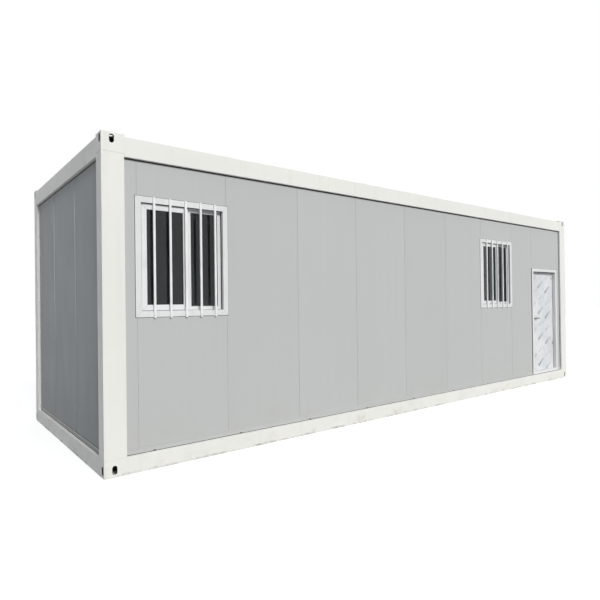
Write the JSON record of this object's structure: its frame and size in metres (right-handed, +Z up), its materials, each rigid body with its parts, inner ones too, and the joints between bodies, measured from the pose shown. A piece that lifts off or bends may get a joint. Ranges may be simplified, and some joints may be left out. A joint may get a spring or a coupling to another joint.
{
  "type": "container cabin",
  "caption": "Flat-pack prefabricated cabin with a bolted steel frame, sandwich-panel walls, barred sliding windows and a hinged steel door.",
  "frame": {"origin": "middle of the base rectangle, on the ground under the corner fittings", "axes": "+X along the length towards the door end, +Z up, the door and window side faces -Y"},
  "size_m": [8.97, 3, 3.1],
  "materials": {
    "frame_paint": "satin off-white paint",
    "wall_sheet": "satin light grey coated steel sheet",
    "galvanised": "galvanised",
    "roof_metal": "matt light grey coated sheet",
    "floor": "vinyl on board",
    "ceiling": "satin white",
    "window_plastic": "white window plastic",
    "glass": "clear, dark behind",
    "bar_paint": "white paint",
    "door_paint": "white paint under protective film",
    "threshold_metal": "white paint, worn",
    "bright_metal": "satin"
  },
  "bodies": {
    "cabin": {"bottom_corner_fittings": "frame_paint", "top_corner_fittings": "frame_paint", "corner_post_front_left": "frame_paint", "corner_post_front_right": "frame_paint", "corner_post_back_left": "frame_paint", "corner_post_back_right": "frame_paint", "floor_beam_front": "frame_paint", "floor_beam_back": "frame_paint", "floor_beam_left": "frame_paint", "floor_beam_right": "frame_paint", "floor_joists": "galvanised", "floor_deck": "floor", "roof_beam_front": "frame_paint", "roof_beam_back": "frame_paint", "roof_beam_left": "frame_paint", "roof_beam_right": "frame_paint", "roof_purlins": "galvanised", "roof_sheet": "roof_metal", "ceiling_panel": "ceiling", "front_wall_panels": "wall_sheet", "left_window_infill": "wall_sheet", "right_window_infill": "wall_sheet", "door_header_panel": "wall_sheet", "door_side_panel": "wall_sheet", "back_wall_panels": "wall_sheet", "left_wall_panels": "wall_sheet", "right_wall_panels": "wall_sheet", "front_base_trim": "wall_sheet", "back_base_trim": "wall_sheet", "end_base_trims": "wall_sheet", "left_window_frame": "window_plastic", "left_window_sash": "window_plastic", "left_window_glass": "glass", "left_window_bars": "bar_paint", "right_window_frame": "window_plastic", "right_window_sash": "window_plastic", "right_window_glass": "glass", "right_window_bars": "bar_paint", "door_frame": "door_paint", "door_threshold": "threshold_metal", "door_hinge_pins": "bright_metal"},
    "door": {"door_leaf": "door_paint", "door_hinge_knuckles": "bright_metal", "door_lock_plates": "bright_metal"},
    "handle": {"door_handle": "bright_metal"}
  },
  "joints": [
    {"name": "door_swing", "type": "hinge", "parent": "cabin", "child": "door", "pos_m": [4.133, -1.3605, 1.2], "axis": [0, 0, -1], "range_deg": [0, 95]},
    {"name": "handle_turn", "type": "hinge", "parent": "door", "child": "handle", "pos_m": [3.342, -1.39, 1.2], "axis": [0, 1, 0], "range_deg": [0, 40], "stiffness_Nm_per_rad": 2, "springref_deg": -28.65}
  ]
}
